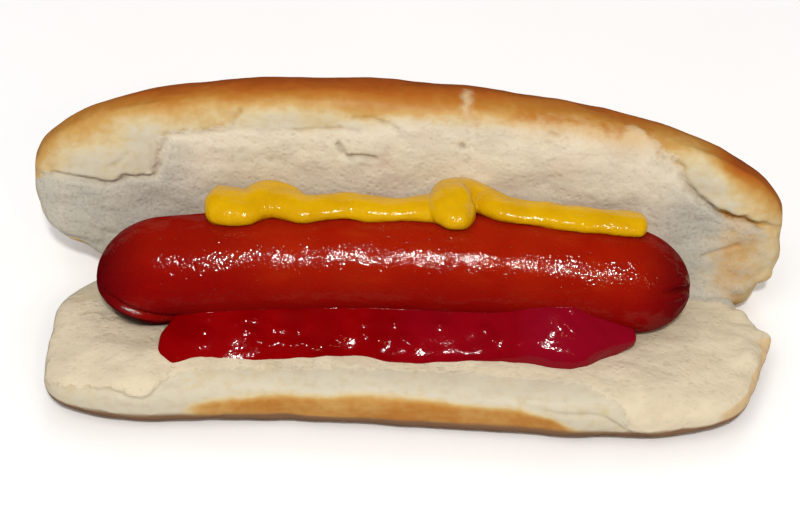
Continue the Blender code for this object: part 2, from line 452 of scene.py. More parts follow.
def get_points(mesh):
    points = np.empty(len(mesh.vertices) * 3)
    mesh.vertices.foreach_get("co", points)
    return points.reshape(-1, 3)


def set_points(mesh, points):
    mesh.vertices.foreach_set("co", np.ravel(points))
    mesh.update()


def get_normals(mesh):
    normals = np.empty(len(mesh.vertices) * 3, np.float32)
    mesh.vertex_normals.foreach_get("vector", normals)
    return normals.reshape(-1, 3).astype(float)


def shaped_sphere(around, rings, shape):
    """A mesh of a sphere with its poles on the X axis whose unit points shape() moves."""
    bm = bmesh.new()
    bmesh.ops.create_uvsphere(bm, u_segments=around, v_segments=rings, radius=1.0)
    mesh = bpy.data.meshes.new("shaped")
    bm.to_mesh(mesh)
    unit = get_points(mesh)[:, (2, 1, 0)] * (1, 1, -1)
    set_points(mesh, shape(unit / np.linalg.norm(unit, axis=1)[:, None]))
    bm.clear()
    bm.from_mesh(mesh)
    if bm.calc_volume(signed=True) < 0:
        bmesh.ops.reverse_faces(bm, faces=bm.faces)
    bm.to_mesh(mesh)
    bm.free()
    return mesh


def fused(meshes, voxel):
    """One closed skin of even faces round all the meshes."""
    bm = bmesh.new()
    for mesh in meshes:
        bm.from_mesh(mesh)
    joined = bpy.data.meshes.new("joined")
    bm.to_mesh(joined)
    bm.free()
    carrier = bpy.data.objects.new("carrier", joined)
    bpy.context.scene.collection.objects.link(carrier)
    modifier = carrier.modifiers.new("skin", "REMESH")
    modifier.mode = "VOXEL"
    modifier.voxel_size = voxel
    graph = bpy.context.evaluated_depsgraph_get()
    skin = bpy.data.meshes.new_from_object(carrier.evaluated_get(graph))
    bpy.data.objects.remove(carrier)
    return skin


def smoothed(mesh, rounds):
    bm = bmesh.new()
    bm.from_mesh(mesh)
    for _ in range(rounds):
        bmesh.ops.smooth_vert(
            bm, verts=bm.verts, factor=0.5, use_axis_x=True, use_axis_y=True, use_axis_z=True
        )
    bm.to_mesh(mesh)
    bm.free()


def refined(mesh, wanted):
    """Splits each face whose corners are all wanted into four."""
    bm = bmesh.new()
    bm.from_mesh(mesh)
    bm.verts.ensure_lookup_table()
    edges = [e for e in bm.edges if wanted[e.verts[0].index] and wanted[e.verts[1].index]]
    bmesh.ops.subdivide_edges(bm, edges=edges, cuts=1, use_grid_fill=True, smooth=0.6)
    bm.to_mesh(mesh)
    bm.free()


def place(name, mesh, material, node):
    """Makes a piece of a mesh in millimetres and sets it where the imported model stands."""
    set_points(mesh, (get_points(mesh) + SHIFT) * MM)
    mesh.name = name
    mesh.shade_smooth()
    mesh.materials.clear()
    mesh.materials.append(material)
    made = bpy.data.objects.new(name, mesh)
    bpy.context.scene.collection.objects.link(made)
    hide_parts(node)
    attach(made, "root")


def write_layer(mesh, name, values):
    layer = mesh.attributes.new(name, "FLOAT", "POINT")
    layer.data.foreach_set("value", values.astype(np.float32))


# Forms


def cushion(unit, left_end, right_end, section_power):
    """Pushes unit points out to a cushion of reach 1 each way, with its own outline at each end."""
    length, across, thick = np.abs(unit).T + 1e-9
    flat = np.hypot(length, across)
    out = (flat**section_power + thick**section_power) ** (-1 / section_power)
    ends = np.where(unit[:, :1] < 0, [left_end], [right_end])
    power = np.where(unit[:, 1] < 0, ends[:, 0], ends[:, 1])
    outline = flat * (length**power + across**power) ** (-1 / power)
    return unit[:, 0] * out * outline, unit[:, 1] * out * outline, unit[:, 2] * out


def crown_shape(unit):
    dome = unit[:, 2] > 0
    turned = unit * (1, -1, 1)
    x, across, through = cushion(turned, CROWN_LEFT_END, CROWN_RIGHT_END, np.where(dome, 2.5, 3.4))
    x = CROWN_CENTRE_X + x * CROWN_LENGTH / 2
    reach = np.where(across < 0, CROWN_REACH_UP, CROWN_REACH_DOWN)
    up_face = CROWN_MIDDLE + CROWN_MIDDLE_SLOPE * x - across * reach
    tuck_place, tuck_width, tuck_height = CROWN_TUCK
    up_face += tuck_height * bump(x, tuck_place, tuck_width) * ramp(across, 0.3, 0.8)
    out = CROWN_FACE + through * np.where(dome, CROWN_DOME, CROWN_FACE)
    y = up_face * math.cos(CROWN_LEAN) + out * math.sin(CROWN_LEAN)
    z = FOLD_HEIGHT + up_face * math.sin(CROWN_LEAN) - out * math.cos(CROWN_LEAN)
    return np.column_stack([x, y, z])


def crown_place(points):
    """How far up the crown's cut face each point is, and how far out behind it."""
    rise = points[:, 2] - FOLD_HEIGHT
    up_face = points[:, 1] * math.cos(CROWN_LEAN) + rise * math.sin(CROWN_LEAN)
    out = points[:, 1] * math.sin(CROWN_LEAN) - rise * math.cos(CROWN_LEAN)
    return up_face, out


def heel_shape(unit):
    top = unit[:, 2] > 0
    x, across, through = cushion(unit, HEEL_LEFT_END, HEEL_RIGHT_END, np.where(top, 3.0, 3.2))
    x = HEEL_CENTRE_X + x * HEEL_LENGTH / 2
    y = HEEL_MIDDLE + across * HEEL_HALF_WIDTH
    z = HEEL_MIDDLE_HEIGHT + through * np.where(top, HEEL_RISE, HEEL_DROP)
    x += along(y, HEEL_CORNER) * ramp(x, 48, 64)
    y -= along(x, HEEL_FRONT) * ramp(-across, 0.3, 0.9)
    return np.column_stack([x, y, z + np.clip(through, 0, 1) * HEEL_TILT * (HEEL_MIDDLE - y)])


def rod(unit, caps=0.5):
    """Place along a rod's straight part from -1 to 1, angle into its round end, angle about it."""
    share = np.arctan2(unit[:, 0], np.hypot(unit[:, 1], unit[:, 2])) / (math.pi / 2)
    run = np.clip(share / (1 - caps), -1, 1)
    dome = np.sign(share) * np.clip((np.abs(share) - 1 + caps) / caps, 0, 1) * math.pi / 2
    return run, dome, np.arctan2(unit[:, 2], unit[:, 1])


def sausage_middle(x):
    """The middle of the sausage, and its radius, at x from its centre."""
    share = x / (SAUSAGE_LENGTH / 2)
    y = SAUSAGE_CENTRE[1] + SAUSAGE_TURN * x + SAUSAGE_BEND * (1 - share**2)
    z = SAUSAGE_CENTRE[2] + SAUSAGE_TILT * x + SAUSAGE_BOW * (1 - share**2)
    return y, z, SAUSAGE_RADIUS * (1 - SAUSAGE_TAPER * share)


def model_shift():
    """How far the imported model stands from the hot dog's own frame, from where its sausage lies."""
    low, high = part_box("sausage")
    y, _, radius = sausage_middle(np.linspace(-50, 50, 101))
    return np.array(((low.x + high.x) / 2 / MM - SAUSAGE_CENTRE[0], high.y / MM - np.max(y + radius), 0))


SHIFT = model_shift()


def clear_of_sausage(points, gap):
    """Moves points that are inside the sausage, or closer to it than the gap, out to the gap."""
    x = points[:, 0] - SAUSAGE_CENTRE[0]
    y, z, radius = sausage_middle(x)
    middle = np.column_stack([points[:, 0], y, z])
    side = points - middle
    past = np.clip(np.abs(x) - (SAUSAGE_LENGTH / 2 - SAUSAGE_END), 0, None) / (SAUSAGE_END + gap)
    reach = np.linalg.norm(side, axis=1) / (radius + gap) + 1e-9
    wanted = np.sqrt(np.clip(1 - past**2, 0, 1))
    inside = reach < wanted
    moved = points.copy()
    moved[inside] = (middle + side * (wanted / reach)[:, None])[inside]
    return moved


# The bun


def bun_regions(points):
    """How far each point is on to the skin, past the torn edge and below the heel's lip, all in
    millimetres and negative on the other side, and how much of it is crown, from 0 to 1."""
    x, y, z = points.T
    up_face, out = crown_place(points)
    on_crown = ramp(out, -1.6, -0.4)
    torn_top = 3.0 * bump(x, 44.2, 2.3) + 1.8 * ramp(-x, 54, 62) * (1 - ramp(up_face, 18, 22))
    side = np.where(up_face > along(x, TORN_EDGE), 1.0, -1.0)
    tear = side * distance(x, up_face, TORN_EDGE)
    crown_skin = np.maximum(tear, out - CROWN_CRUMB - torn_top)
    split = 1.6 * (distance(x, out, CRUST_SPLIT) - 0.62)
    crown_skin = np.where(up_face > 30, np.minimum(crown_skin, split), crown_skin)
    lip = along(x, HEEL_LIP) - z
    heel_skin = np.maximum(-y - along(x, HEEL_CRUMB_FRONT), lip)
    skin = on_crown * crown_skin + (1 - on_crown) * heel_skin
    return np.clip(skin, -6, 6), tear, lip, on_crown


def bun_bake(points, normals):
    """How deeply the skin is browned, from 0 to 1."""
    x, y, z = points.T
    up_face, out = crown_place(points)
    streak = lumps(points, *CRUST_STREAK)
    near_edge = 1 - ramp(out, 3, 5)
    crown = along(out + 0.3 * streak, BAKE) * ramp(up_face + 1.3 * (out - 4), 12, 27)
    crown *= 1 - (1 - along(x, BAKE_ALONG)) * (1 - ramp(out, 8, 18))
    crown += 0.08 * bump(x, 32, 16) * ramp(out, 0, 1) * near_edge
    crown += 0.20 * ramp(x, 58, 66) * ramp(out, -0.5, 1.5)
    crown += 0.28 * bump(np.hypot(x - 66, 1.6 * (out - 4.5)), 0, 4.0)
    crown += 0.07 * bump(x, 30, 20) * ramp(out, -0.5, 1) * near_edge
    front = ramp(x, -47, -38) * (1 - ramp(x, 30, 40))
    gold = front * ramp(along(x, HEEL_GOLD) - z, -1.1, 1.1) * (0.50 + 0.05 * streak)
    under = (0.15 + 0.6 * front) * ramp(4.2 - z, 0, 1.6)
    end = 0.55 * ramp(x, 60, 65) * ramp(-y, 8, 11) * ramp(8.0 - z, -0.7, 0.7)
    heel = np.maximum(np.maximum(gold, under), end)
    bottom = 0.55 * ramp(-normals[:, 2], 0.5, 0.95)
    on_crown = ramp(out, -1.6, 1.0)
    bake = on_crown * crown + (1 - on_crown) * heel
    return np.clip(np.maximum(bake, bottom), 0, 1)


def bun_relief(points, normals):
    """How far each point of the smooth bun moves out along its normal."""
    x, y, _ = points.T
    up_face, out = crown_place(points)
    skin, tear, lip, on_crown = bun_regions(points)
    bare = 1 - ramp(skin, -0.4, 0.5)
    towards_heel = -(normals[:, 1] * math.sin(CROWN_LEAN) - normals[:, 2] * math.cos(CROWN_LEAN))
    on_face = on_crown * ramp(towards_heel, 0.2, 0.6)

    broad = lumps(points, *CRUMB_BROAD)
    middle = lumps(points, *CRUMB_MIDDLE)
    small = lumps(points, *CRUMB_SMALL)
    fine = lumps(points, *CRUMB_FINE)
    relief = bare * (0.34 * broad + 0.17 * middle + 0.07 * small + 0.03 * fine)
    relief += (1 - bare) * (0.26 * broad + 0.12 * middle + 0.03 * small)

    tear = tear + TEAR_RAGGED * small
    # The tear is shallower where its edge turns straight up, near the left end.
    torn = along(x, TORN_DEPTH) * (1 - 0.6 * bump(np.hypot(x + 51.5, 0.5 * (up_face - 28)), 0, 3))
    relief += on_face * torn * (0.75 * ramp(tear, -0.25, 0.45) * (1 - ramp(tear, 3, 12)))
    relief -= on_face * torn * 1.1 * bump(tear, -0.85, 0.75)
    relief -= on_face * torn * 0.7 * (1 - ramp(tear, -8, -0.5)) * ramp(tear, -26, -10)
    for line, depth, width in CRACKS:
        relief -= on_face * depth * bump(distance(x, up_face, line), 0, width * (1 + 0.5 * fine))
    split = bump(distance(x, out, CRUST_SPLIT), 0, 0.8) * ramp(up_face, 30, 34)
    relief -= 0.5 * on_crown * split

    hanging = (1 - on_crown) * ramp(-y, 20, 26)
    strong = bump(x, -54, 9) + 0.6 * bump(x, 36, 12)
    relief += hanging * strong * (0.7 * (1 - ramp(lip, -0.35, 0.35)) - 0.5 * bump(lip, 0.5, 0.5))
    relief += on_face * 0.30 * middle * bump(x, 60, 9) * ramp(tear, -0.5, 1.0) * (1 - ramp(out, 3, 6))
    ragged = ramp(x, 64, 68) + on_crown * ramp(-x, 56, 62) * (1 - ramp(up_face, 10, 16))
    relief += ragged * ramp(-up_face, -12, -2) * ramp(up_face, -6, -3) * 0.8 * middle
    return relief


def bun_shade(points):
    """How much painted shade darkens the deep cracks and the torn edge's foot, from 0 to 1."""
    x = points[:, 0]
    up_face, out = crown_place(points)
    tear = bun_regions(points)[1] + TEAR_RAGGED * lumps(points, *CRUMB_SMALL)
    # Painted shadow along the foot of the torn ledge, and painted shade in the cracks below.
    shade = 0.65 * along(x, TORN_DEPTH) * bump(tear, -0.6, 0.6)
    for line, depth, width in CRACKS:
        shade += 0.6 * depth * bump(distance(x, up_face, line), 0, width)
    shade *= 0.65 + 0.6 * lumps(points, *CRACK_SHADE)
    return np.clip(shade * ramp(3.0 - out, 0, 1.5) * ramp(up_face, 3, 8), 0, 1)


def make_bun(material):
    crown = shaped_sphere(200, 170, crown_shape)
    heel = shaped_sphere(180, 150, heel_shape)
    bun = fused([crown, heel], BUN_VOXEL)
    smoothed(bun, 3)
    # Only the bread that shows is given finer faces.
    points = get_points(bun)
    up_face, out = crown_place(points)
    seen = (out < 9) & (up_face > -12) & (points[:, 2] > 1.2)
    hidden = (np.abs(points[:, 0] + 3) < 56) & (points[:, 1] > -17) & (points[:, 2] < 24)
    refined(bun, seen & ~hidden)
    points = get_points(bun)
    normals = get_normals(bun)
    points += normals * bun_relief(points, normals)[:, None]
    points = clear_of_sausage(points, BUN_GAP)
    points[:, 2] = np.maximum(points[:, 2], 0)
    set_points(bun, points)
    x = points[:, 0]
    up_face, out = crown_place(points)
    skin, tear, _, on_crown = bun_regions(points)
    middle = ramp(x, -46, -30) * (1 - ramp(x, 42, 52)) * on_crown
    low = on_crown * ramp(x, 56, 62) * (1 - ramp(up_face, 12, 16))
    firm = 1 / (1 + 4 * np.maximum(middle, low))
    write_layer(bun, "skin", skin * firm)
    write_layer(bun, "firm", firm)
    write_layer(bun, "shade", bun_shade(points))
    # The heel's edge where it turns under is coloured a dark grey-brown: partly its bottom crust's own
    # brown, partly painted shade.
    turned = ramp(-normals[:, 2], 0.06, 0.2) * ramp(8.0 - points[:, 2], 0, 2)
    write_layer(bun, "under", turned * (1 - on_crown))
    write_layer(bun, "heel", 1 - on_crown)
    write_layer(bun, "bake", bun_bake(points, normals))
    # Painted shade: the crumb below the torn ledge at both ends of the crown, and the low crumb by the
    # sausage, is greyed where shade falls.
    left = ramp(-x, 40, 56) * ramp(-tear, 0.2, 3)
    right = ramp(x, 48, 60) * ramp(-tear, 0.2, 3)
    low_crumb = 0.5 * (1 - ramp(up_face, 16, 28))
    write_layer(bun, "recess_shade", on_crown * np.clip(np.maximum(left, right) + low_crumb, 0, 1))
    place("bun_bread", bun, material, "bun")


# The sausage


def crease_depth(creases, inset, degrees, radius):
    """How deep the creases of one end lie at each place on it."""
    depth = np.zeros(len(inset))
    for line, deep, width in creases:
        turn = (degrees - along(inset, line) + 180) % 360 - 180
        gone = ramp(inset, 0.55 * line[-1][0], line[-1][0] + 2)
        across = np.radians(turn) * radius
        depth += deep * (1 - gone) * (bump(across, 0, width) - 0.35 * bump(across, 2.2 * width, 1.3 * width))
    return depth * np.clip(radius / 3, 0, 1)


def sausage_shape(unit):
    run, dome, around = rod(unit)
    half = SAUSAGE_LENGTH / 2
    x = (half - SAUSAGE_END) * run + SAUSAGE_END * np.sin(dome)
    y, z, radius = sausage_middle(x)
    radius = radius * np.cos(dome)
    inset = half - np.abs(x)
    degrees = np.degrees(around)
    left = crease_depth(LEFT_CREASES, inset, degrees, radius)
    right = crease_depth(RIGHT_CREASES, inset, degrees, radius)
    radius = radius - np.where(x < 0, left, right)
    return np.column_stack([SAUSAGE_CENTRE[0] + x, y + radius * np.cos(around), z + radius * np.sin(around)])


def make_sausage(material):
    sausage = shaped_sphere(220, 300, sausage_shape)
    points = get_points(sausage)
    normals = get_normals(sausage)
    set_points(sausage, points + normals * swell_of(points, SAUSAGE_SWELL)[:, None])
    inset = SAUSAGE_LENGTH / 2 - np.abs(points[:, 0] - SAUSAGE_CENTRE[0])
    degrees = np.degrees(np.arctan2(normals[:, 2], normals[:, 1])) % 360
    # Painted shade: the tips and the lobe below the left end's crease are darkened.
    shaded_lobe = (1 - ramp(inset, 16, 26)) * bump(degrees, 216, 34) * (points[:, 0] < 0)
    write_layer(sausage, "tip", np.maximum(1 - ramp(inset, 0, 13), shaded_lobe))
    # Painted shade: the casing is darker on its lower side and towards both ends, where shade falls.
    low = ramp(degrees, 120, 200) * (1 - ramp(degrees, 270, 330))
    ends = 0.7 * ramp(-points[:, 0], 22, 46) + 0.5 * ramp(points[:, 0], 36, 52)
    write_layer(sausage, "low", np.clip(low + ends, 0, 1))
    write_layer(sausage, "shine", (0.10 + 0.90 * bump(degrees, 132, 34)) * (1 - 0.8 * shaded_lobe))
    place("frankfurter", sausage, material, "sausage")


# The sauces


def smooth_path(points, count):
    """A smooth curve through the points, evenly stepped along its length."""
    points = np.array(points, float)
    ends = [2 * points[0] - points[1]], [2 * points[-1] - points[-2]]
    a = np.concatenate([ends[0], points, ends[1]])
    t = np.linspace(0, 1, 16)[:, None]
    curve = []
    for p, q, r, s in zip(a, a[1:], a[2:], a[3:]):
        curve.append(q + 0.5 * t * (r - p + t * (2 * p - 5 * q + 4 * r - s + t * (3 * (q - r) + s - p))))
    curve = np.concatenate(curve)
    steps = np.linalg.norm(np.diff(curve[:, :3], axis=0), axis=1)
    length = np.concatenate([[0], np.cumsum(steps)])
    even = np.linspace(0, length[-1], count)
    return even, np.column_stack([np.interp(even, length, column) for column in curve.T])


def over_sausage(x, up):
    """How far out of the mustard's plane the sausage reaches at each (x, up) of the plane."""
    y, z, radius = sausage_middle(x - SAUSAGE_CENTRE[0])
    y = y - CREASE[0]
    z = z - CREASE[1]
    middle_up = y * math.sin(MUSTARD_PLANE) + z * math.cos(MUSTARD_PLANE)
    middle_out = z * math.sin(MUSTARD_PLANE) - y * math.cos(MUSTARD_PLANE)
    return middle_out + np.sqrt(np.clip(radius**2 - (up - middle_up) ** 2, 4, None))


def strand_shape(unit, points):
    """A round-ended strand of mustard whose lower edge lies on the sausage."""
    x, up, radius, lift = np.array(points).T
    out = over_sausage(x, up - radius) - MUSTARD_SLANT * radius + lift
    run, dome, around = rod(unit, 0.2)
    length, path = smooth_path(np.column_stack([x, up, out, radius]), 200)
    ends = np.where(run < 0, path[0, 3], path[-1, 3])
    spot = length[-1] * (1 + run) / 2
    centre = np.column_stack([np.interp(spot, length, column) for column in path.T])
    slope = np.gradient(path[:, :3], length, axis=0)
    forward = np.column_stack([np.interp(spot, length, column) for column in slope.T])
    forward /= np.linalg.norm(forward, axis=1)[:, None]
    side = np.cross([0.0, 0.0, 1.0], forward)
    side /= np.linalg.norm(side, axis=1)[:, None]
    outward = np.cross(forward, side)
    thick = (centre[:, 3] * np.cos(dome))[:, None]
    depth = np.sin(around) * np.where(around > 0, MUSTARD_FRONT, MUSTARD_BACK)
    skin = centre[:, :3] + forward * (ends * np.sin(dome) * 0.7)[:, None]
    skin += thick * side * np.cos(around)[:, None]
    skin += thick * outward * depth[:, None]
    up = skin[:, 1]
    out = skin[:, 2] - MUSTARD_SLANT * (up - centre[:, 1])
    y = CREASE[0] + up * math.sin(MUSTARD_PLANE) - out * math.cos(MUSTARD_PLANE)
    z = CREASE[1] + up * math.cos(MUSTARD_PLANE) + out * math.sin(MUSTARD_PLANE)
    return np.column_stack([skin[:, 0], y, z])


def make_mustard(material):
    left = shaped_sphere(72, 300, lambda unit: strand_shape(unit, MUSTARD_LEFT))
    right = shaped_sphere(72, 300, lambda unit: strand_shape(unit, MUSTARD_RIGHT))
    curl = shaped_sphere(72, 60, lambda unit: strand_shape(unit, MUSTARD_CURL))
    mustard = fused([left, right, curl], MUSTARD_VOXEL)
    smoothed(mustard, 4)
    points = get_points(mustard)
    normals = get_normals(mustard)
    swell = swell_of(points, MUSTARD_SWELL)
    points = clear_of_sausage(points + normals * swell[:, None], SAUCE_GAP)
    set_points(mustard, points)
    place("mustard_strand", mustard, material, "mustard")


def ketchup_shape(unit):
    x, across, through = cushion(unit, KETCHUP_LEFT_END, KETCHUP_RIGHT_END, 4.0)
    x = KETCHUP_CENTRE[0] + x * KETCHUP_LENGTH / 2
    reach = np.where(across < 0, KETCHUP_CENTRE[1] - along(x, KETCHUP_EDGE), KETCHUP_BACK)
    climb_place, climb_width, climb_height = KETCHUP_CLIMB
    climb = climb_height * bump(x, climb_place, climb_width)
    y = across * reach
    thinning = 1 - 0.15 * ramp(x, 0, 12) - 0.35 * ramp(x, 33, 46)
    thickness = KETCHUP_THICKNESS * thinning + np.where(through > 0, 0.5 * climb, 2.0)
    # The front corner at the left end lifts, and the corner beside the sausage is drawn in.
    z = KETCHUP_SLOPE * y + through * thickness + 1.3 * bump(x, -46, 5) * ramp(-across, 0, 0.7)
    y += KETCHUP_CENTRE[1] - 0.3 * climb * ramp(across, -1, 0.3)
    z += KETCHUP_CENTRE[2] + 0.35 * climb
    x += 2.2 * ramp(-x, 42, 48) * ramp(across, -0.38, 0.0)
    return np.column_stack([x, y, z])


def make_ketchup(material):
    ketchup = fused([shaped_sphere(120, 300, ketchup_shape)], KETCHUP_VOXEL)
    smoothed(ketchup, 3)
    points = get_points(ketchup)
    normals = get_normals(ketchup)
    swell = swell_of(points, KETCHUP_SWELL)
    for x, y, height, width in KETCHUP_BLISTERS:
        away = np.hypot(0.7 * (points[:, 0] - x), points[:, 1] - y)
        swell += height * bump(away, 0, width) * np.clip(normals[:, 2], 0, 1)
    points = clear_of_sausage(points + normals * swell[:, None], SAUCE_GAP)
    set_points(ketchup, points)
    write_layer(ketchup, "right", 0.4 * ramp(points[:, 0], -10, 6) + 0.6 * ramp(points[:, 0], 20, 26))
    place("ketchup_strip", ketchup, material, "ketchup")


# Materials


class Nodes:
    """Adds and joins the nodes of one material."""

    def __init__(self, name):
        self.material = bpy.data.materials.new(name)
        self.material.use_nodes = True
        self.tree = self.material.node_tree
        self.shader = self.tree.nodes["Principled BSDF"]
        self.place = self.add("ShaderNodeTexCoord").outputs["Object"]

    def add(self, kind, inputs=(), **settings):
        node = self.tree.nodes.new(kind)
        for name, value in settings.items():
            setattr(node, name, value)
        for key, value in dict(inputs).items():
            self.put(node.inputs[key], value)
        return node

    def put(self, socket, value):
        if isinstance(value, bpy.types.NodeSocket):
            self.tree.links.new(value, socket)
        else:
            socket.default_value = value

    def noise(self, size, detail, stretch=(1, 1, 1)):
        """Noise between 0 and 1 with lumps of this size in millimetres."""
        scale = [s / (size * MM) for s in stretch]
        scaled = self.add("ShaderNodeMapping", {"Vector": self.place, "Scale": scale})
        inputs = {"Vector": scaled.outputs[0], "Scale": 1.0, "Detail": detail}
        return self.add("ShaderNodeTexNoise", inputs).outputs["Fac"]

    def cells(self, size):
        """Distance from the nearest of a scatter of points about this many millimetres apart."""
        inputs = {"Vector": self.place, "Scale": 1 / (size * MM)}
        return self.add("ShaderNodeTexVoronoi", inputs).outputs["Distance"]

    def layer(self, name):
        return self.add("ShaderNodeAttribute", attribute_name=name).outputs["Fac"]

    def math(self, operation, *values):
        return self.add("ShaderNodeMath", dict(enumerate(values)), operation=operation).outputs[0]

    def ranged(self, value, start, end, low=0.0, high=1.0):
        inputs = {0: value, 1: start, 2: end, 3: low, 4: high}
        return self.add("ShaderNodeMapRange", inputs, interpolation_type="SMOOTHSTEP").outputs[0]

    def mix(self, share, first, second):
        node = self.add("ShaderNodeMix", data_type="RGBA")
        for index, value in ((0, share), (6, first), (7, second)):
            self.put(node.inputs[index], value)
        return node.outputs[2]

    def gradient(self, value, stops):
        node = self.add("ShaderNodeValToRGB", {"Fac": value})
        elements = node.color_ramp.elements
        while len(elements) < len(stops):
            elements.new(0.5)
        for element, (position, colour) in zip(elements, stops):
            element.position = position
            element.color = colour
        return node.outputs["Color"]

    def bumps(self, height, depth, strength):
        """Fine relief of this depth in millimetres for the shader's normal."""
        inputs = {"Height": height, "Distance": depth * MM, "Strength": strength}
        self.put(self.shader.inputs["Normal"], self.add("ShaderNodeBump", inputs).outputs[0])

    def finish(self, **values):
        for name, value in values.items():
            self.put(self.shader.inputs[name.replace("_", " ")], value)
        return self.material


def srgb(red, green, blue):
    """A colour from its usual 0 to 255 values."""
    share = np.array((red, green, blue)) / 255
    linear = np.where(share <= 0.04045, share / 12.92, ((share + 0.055) / 1.055) ** 2.4)
    return (*linear.tolist(), 1.0)


# The bread's colours.
CRUMB_PALE = srgb(217, 206, 183)
CRUMB_DULL = srgb(205, 194, 172)
CRUMB_WARM = srgb(213, 193, 172)
# Painted shade: the greyer crumb in the recesses below the torn ledge and by the sausage, with dark flecks
# in it.
CRUMB_RECESS_SHADE = srgb(178, 174, 162)
CRUMB_SHADE_FLECK = srgb(138, 130, 114)
CRUMB_TOASTED = srgb(204, 164, 104)
CRUMB_HEEL = srgb(204, 182, 140)
CRUMB_PIT = srgb(160, 142, 114)
CRUMB_PORE = srgb(150, 135, 112)
SKIN_MOTTLE = srgb(168, 144, 112)
# Painted shade darkening the cracks and the torn edge's foot.
CRACK_PAINTED_SHADE = srgb(112, 92, 66)
# The heel's underside edge: partly the bottom crust's brown, partly painted shade.
UNDER_CRUST_AND_SHADE = srgb(128, 94, 66)
CRUST = (
    (0.0, srgb(199, 190, 167)),
    (0.16, srgb(204, 184, 140)),
    (0.34, srgb(193, 152, 84)),
    (0.55, srgb(177, 116, 40)),
    (0.78, srgb(170, 90, 18)),
    (1.0, srgb(152, 70, 8)),
)


def bread_material():
    n = Nodes("bread")
    broad = n.noise(9, 3)
    patches = n.noise(4.5, 3, (0.7, 1, 1))
    small = n.noise(1.6, 3, (0.8, 1, 1))
    fine = n.noise(0.7, 2)
    pores = n.ranged(n.cells(1.5), 0.05, 0.45)

    # Painted shade: the crumb turns grey, with dark flecks, in the recesses below the torn ledge and by the
    # sausage.
    recess_shade = n.math("MULTIPLY", n.layer("recess_shade"), n.ranged(broad, 0.25, 0.75, 0.6, 1.0))
    crumb = n.mix(n.ranged(patches, 0.35, 0.65), CRUMB_PALE, CRUMB_DULL)
    crumb = n.mix(n.ranged(broad, 0.5, 0.8, 0, 0.5), crumb, CRUMB_WARM)
    crumb = n.mix(recess_shade, crumb, CRUMB_RECESS_SHADE)
    crumb = n.mix(n.math("MULTIPLY", recess_shade, n.ranged(fine, 0.50, 0.36, 0, 0.32)), crumb, CRUMB_SHADE_FLECK)
    crumb = n.mix(n.ranged(n.layer("bake"), 0.12, 0.5, 0, 0.7), crumb, CRUMB_TOASTED)
    crumb = n.mix(n.math("MULTIPLY", n.layer("heel"), 0.28), crumb, CRUMB_HEEL)
    crumb = n.mix(n.ranged(small, 0.42, 0.28, 0, 0.24), crumb, CRUMB_PIT)
    crumb = n.mix(n.ranged(fine, 0.38, 0.22, 0, 0.24), crumb, CRUMB_PORE)

    bake = n.math("ADD", n.layer("bake"), n.ranged(broad, 0.2, 0.8, -0.08, 0.08))
    bake = n.math("ADD", bake, n.ranged(small, 0.2, 0.8, -0.05, 0.05))
    skin = n.gradient(bake, CRUST)
    pale = n.ranged(n.layer("bake"), 0.05, 0.40, 1.0, 0.0)
    skin = n.mix(n.math("MULTIPLY", pale, n.ranged(small, 0.40, 0.75, 0, 0.2)), skin, SKIN_MOTTLE)
    ragged = n.math("MULTIPLY", n.ranged(small, 0.2, 0.8, -0.7, 0.7), n.layer("firm"))
    edge = n.math("ADD", n.layer("skin"), ragged)
    covered = n.ranged(edge, -0.35, 0.35)
    colour = n.mix(covered, crumb, skin)
    # Painted shade in the cracks and at the foot of the torn edge.
    colour = n.mix(n.layer("shade"), colour, CRACK_PAINTED_SHADE)
    # Partly the bottom crust's brown and partly painted shade where the heel turns under.
    colour = n.mix(n.layer("under"), colour, UNDER_CRUST_AND_SHADE)
    rough = n.ranged(covered, 0, 1, 0.95, 0.52)

    open_crumb = n.math("SUBTRACT", 1.0, covered)
    height = n.math("ADD", small, n.math("MULTIPLY", fine, 0.7))
    height = n.math("ADD", height, n.math("MULTIPLY", pores, 0.5))
    height = n.math("MULTIPLY", height, n.math("ADD", open_crumb, 0.15))
    n.bumps(height, 0.30, 0.5)
    return n.finish(Base_Color=colour, Roughness=rough, Specular_IOR_Level=0.3)


def sausage_material():
    n = Nodes("frankfurter_casing")
    broad = n.noise(14, 2)
    streaks = n.noise(3, 3, (0.35, 1, 1))
    grain = n.noise(1.0, 2)
    specks = n.noise(0.5, 1)
    wet = n.noise(3.6, 2, (0.7, 1, 1))
    colour = n.mix(n.ranged(broad, 0.3, 0.7), srgb(144, 21, 4), srgb(152, 29, 6))
    colour = n.mix(n.ranged(streaks, 0.5, 0.8, 0, 0.5), colour, srgb(164, 46, 10))
    # Painted shade on the sausage's lower side and towards its ends.
    colour = n.mix(n.math("MULTIPLY", n.layer("low"), 0.8), colour, srgb(122, 3, 6))
    # Painted shade at the tips and on the lobe below the left crease.
    colour = n.mix(n.math("MULTIPLY", n.layer("tip"), 0.8), colour, srgb(76, 4, 12))
    height = n.math("ADD", grain, n.math("MULTIPLY", specks, 0.7))
    dimples = n.ranged(n.cells(1.9), 0.05, 0.22)
    height = n.math("ADD", height, n.math("MULTIPLY", dimples, 0.9))
    n.bumps(height, 0.13, 0.85)
    n.put(n.shader.inputs["Coat Normal"], n.shader.inputs["Normal"].links[0].from_socket)
    # The wet coat lies in patches, so the highlight breaks up along the sausage.
    return n.finish(
        Base_Color=colour,
        Roughness=0.50,
        Specular_IOR_Level=0.0,
        Coat_Weight=n.math("MULTIPLY", n.layer("shine"), n.ranged(wet, 0.42, 0.53, 0.10, 1.0)),
        Coat_Roughness=0.055,
        Coat_IOR=1.65,
    )


